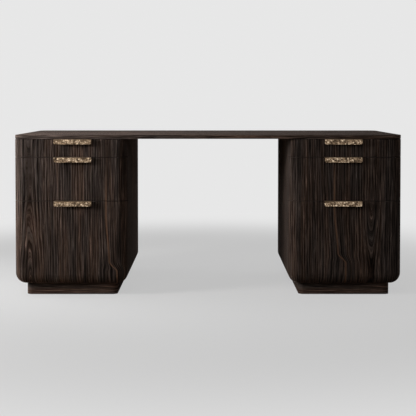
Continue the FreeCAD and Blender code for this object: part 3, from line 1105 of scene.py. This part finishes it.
@dataclass
class Pedestal:
    """One pedestal: its wrapped case, plinth and three drawers."""

    side: Side
    radius: float
    nodes: dict[str, Object]
    palette: Palette
    plinth_radius: float = 25.0 * MM
    tier_seed: float = 3.7
    right_seed: float = 50.0
    plan: RoundedPlan = field(init=False)
    skirt: RoundedPlan = field(init=False)

    def __post_init__(self) -> None:
        """Measures the case and the plinth."""
        shell = [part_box(self.part(name)) for name in (*CASE_BOARDS, "file_front", "pencil_front")]
        low = Vector(min(box[0][axis] for box in shell) for axis in range(3))
        high = Vector(max(box[1][axis] for box in shell) for axis in range(3))
        self.plan = RoundedPlan(low, high, self.radius)
        self.skirt = RoundedPlan(*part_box(self.part("plinth")), self.plinth_radius)

    def part(self, name: str) -> str:
        """The full name of one of the pedestal's parts."""
        return f"{self.side.value}_{name}"

    def grain(self, place: Vector, _normal: Vector) -> tuple[float, float]:
        """Upright grain that is wrapped round the corners and rolls under the bottom edge.

        Args:
            place: a corner of a face.
            _normal: the face's normal, which isn't needed.

        Returns:
            How far across and along the grain the corner lies.
        """
        across = self.plan.unroll(place)
        roll = self.plan.low.z + self.radius
        drop = roll - place.z
        if drop <= 0:
            return across, place.z
        core_x, core_y = self.plan.core(place)
        level = math.hypot(place.x - core_x, place.y - core_y)
        return across, roll - self.radius * math.atan2(drop, max(level, HAIR))

    def plinth_grain(self, place: Vector, _normal: Vector) -> tuple[float, float]:
        """Level grain that is wrapped round the plinth."""
        return place.z, self.skirt.unroll(place)

    def build(self) -> None:
        """Builds the case and its drawers."""
        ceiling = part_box("desktop")[0].z
        for board in CASE_BOARDS:
            Board(self.part(board), "root").build(self.grain, self.palette.case[self.side])
            # The dark gap strips are spacers whose darkness is painted shade in the shadow gap under the
            # slab.
            GapStrip(self.part(board), ceiling).build(self.palette.nylon)
        for panel in ("bottom", "top_panel"):
            dress(self.nodes[self.part(panel)], self.palette.panel)
        Board(self.part("plinth"), "root", slot="plinth_wood").build(self.plinth_grain, self.palette.plinth)
        for index, tier in enumerate(TIERS):
            self.drawer(self.part(tier), index)

    def drawer(self, name: str, index: int) -> None:
        """Builds one drawer.

        Args:
            name: the drawer's name.
            index: its place from the top.
        """
        body = name + "_drawer"
        seed = self.tier_seed * index + (self.right_seed if self.side is Side.RIGHT else 0.0)
        Board(name + "_front", body).build(self.grain, self.palette.case[self.side])
        EdgePull(name + "_pull", body, self.palette, seed).build()
        Tray(name, body, self.nodes, self.palette).build()
        for slide in ("runners", "carriers"):
            dress(self.nodes[f"{name}_{slide}"], self.palette.zinc)
        dress(self.nodes[name + "_screws"], self.palette.fastener)


# Studio

@dataclass(frozen=True)
class Softbox:
    """A large, soft lamp. Its spread is the angle that its light leaves in."""

    name: str
    place: Place
    aim: Place
    size: Pair
    watts: float
    tint: Colour = (1.0, 0.985, 0.97)
    spread: float = math.pi

    def build(self) -> None:
        """Hangs the lamp and turns it to what it lights."""
        lamp = bpy.data.lights.new(self.name, "AREA")
        lamp.shape = "RECTANGLE"
        lamp.size, lamp.size_y = self.size
        lamp.energy = self.watts
        lamp.color = self.tint
        lamp.spread = self.spread
        hung = bpy.data.objects.new(self.name, lamp)
        hung.location = self.place
        hung.rotation_euler = (Vector(self.aim) - Vector(self.place)).to_track_quat("-Z", "Y").to_euler()
        hung.visible_camera = False
        bpy.context.scene.collection.objects.link(hung)


def shows_background(g: Graph) -> Socket:
    """1 for rays that show the background, whether straight, mirrored or through glass."""
    rays = g.wire("ShaderNodeLightPath", {}).node.outputs
    return g.most(rays["Is Camera Ray"], rays["Is Glossy Ray"], rays["Is Transmission Ray"])


@dataclass(frozen=True)
class Studio:
    """A pale floor that fades into pale air all round, soft lamps, and a camera."""

    front: float
    camera_back: float = 4.841
    camera_height: float = 0.9149
    camera_tilt: float = math.radians(1.8)
    sensor: float = 36.0
    lens: float = 89.24
    shift: float = -0.1757
    reach: float = 14.0
    segments: int = 96
    fade: Pair = (1.2, 3.4)
    paper: float = 0.28
    paper_bounce: Colour = (0.27, 0.215, 0.165)
    paper_roughness: float = 0.9
    glow: float = 0.50
    pale: float = 0.80
    air: float = 0.04
    lamps: tuple[Softbox, ...] = (
        Softbox("window", (-2.3, -1.1, 1.3), (-0.75, -0.4, 0.8), (0.6, 0.6), 3.2, spread=math.radians(60)),
        Softbox("low_window", (-2.6, -1.1, 1.0), (-0.7, -0.4, 0.45), (0.6, 0.8), 21.3),
        Softbox("roof_window", (-1.5, -0.1, 1.9), (-0.7, -0.1, 0.76), (0.9, 0.9), 7.0),
        Softbox("side_window", (-2.3, 0.25, 0.47), (-0.9, -0.15, 0.47), (1.4, 0.56), 6.0,
                (0.97, 0.985, 1.0), math.radians(80)),
        Softbox("front_fill", (-0.7, -4.0, 2.9), (0.0, 0.0, 0.5), (3.4, 2.0), 28.4, (1.0, 0.99, 0.98)),
        Softbox("low_fill", (2.6, 1.4, 0.38), (0.7, 0.2, 0.38), (1.8, 0.7), 24.0, (1.0, 1.0, 1.0)))

    def floor(self) -> None:
        """A round floor with no edge to be seen."""
        bm = bmesh.new()
        bmesh.ops.create_circle(bm, cap_ends=True, segments=self.segments, radius=self.reach)
        for face in bm.faces:
            if face.normal.z < 0:
                face.normal_flip()
        mesh = bpy.data.meshes.new("studio_floor")
        bm.to_mesh(mesh)
        bm.free()
        mesh.materials.append(self.paper_material())
        floor = bpy.data.objects.new("studio_floor", mesh)
        bpy.context.scene.collection.objects.link(floor)

    def paper_material(self) -> Material:
        """Pale matt paper that throws little light back, fades into the air and is clear from below.

        Returns:
            The material.
        """
        made = Surface("studio_paper")
        g = made.graph
        seen = shows_background(g)
        away = g.wire("ShaderNodeVectorMath", {0: made.place()}, "Value", operation="LENGTH")
        gone = g.fit(away, *self.fade)
        shade = g.fit(gone, 0.0, 1.0, self.paper, 0.0)
        made.set(Base_Color=g.mix(seen, self.paper_bounce, g.join(shade, shade, shade)),
                 Roughness=self.paper_roughness, Specular_IOR_Level=0.0, Emission_Color=(1.0, 1.0, 1.0),
                 Emission_Strength=g.times(seen, g.fit(gone, 0.0, 1.0, self.glow, self.pale)))
        clear = g.wire("ShaderNodeBsdfTransparent", {})
        below = g.wire("ShaderNodeNewGeometry", {}, "Backfacing")
        mixed = g.wire("ShaderNodeMixShader", {0: below, 1: made.shader.outputs[0], 2: clear})
        g.feed(made.material.node_tree.nodes["Material Output"].inputs["Surface"], mixed)
        return made.material

    def world(self) -> None:
        """Even light from all round, and a pale background where the paper ends."""
        world = bpy.data.worlds.new("studio_air")
        world.use_nodes = True
        bpy.context.scene.world = world
        g = Graph(world.node_tree)
        background = world.node_tree.nodes["Background"].inputs
        light = g.fit(shows_background(g), 0.0, 1.0, self.air, self.pale, "LINEAR")
        g.feed(background["Color"], (1.0, 1.0, 1.0))
        g.feed(background["Strength"], light)

    def camera(self) -> None:
        """A camera in front of the desk, tipped a little and shifted to frame it."""
        lens = bpy.data.cameras.new("camera")
        lens.sensor_width = self.sensor
        lens.lens = self.lens
        lens.shift_y = self.shift
        camera = bpy.data.objects.new("camera", lens)
        camera.location = (0.0, self.front - self.camera_back, self.camera_height)
        camera.rotation_euler = (math.pi / 2 - self.camera_tilt, 0.0, 0.0)
        bpy.context.scene.collection.objects.link(camera)
        bpy.context.scene.camera = camera

    def build(self) -> None:
        """Sets up the whole studio."""
        self.floor()
        self.world()
        self.camera()
        for lamp in self.lamps:
            lamp.build()
        bpy.context.scene.view_settings.view_transform = "Standard"


def main() -> None:
    """Builds the desk and its studio."""
    logging.basicConfig(level=logging.INFO, format="%(message)s")
    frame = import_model()
    nodes = frame["nodes"]
    low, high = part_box("left_file_front")
    radius = high.y - low.y
    palette = Palette()
    Desktop(RoundedPlan(*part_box("desktop"), radius), nodes, palette).build()
    for side in Side:
        Pedestal(side, radius, nodes, palette).build()
    dress(nodes["cabinet_slides"], palette.zinc)
    dress(nodes["glides"], palette.nylon)
    Studio(low.y).build()


if __name__ == "__main__":
    main()
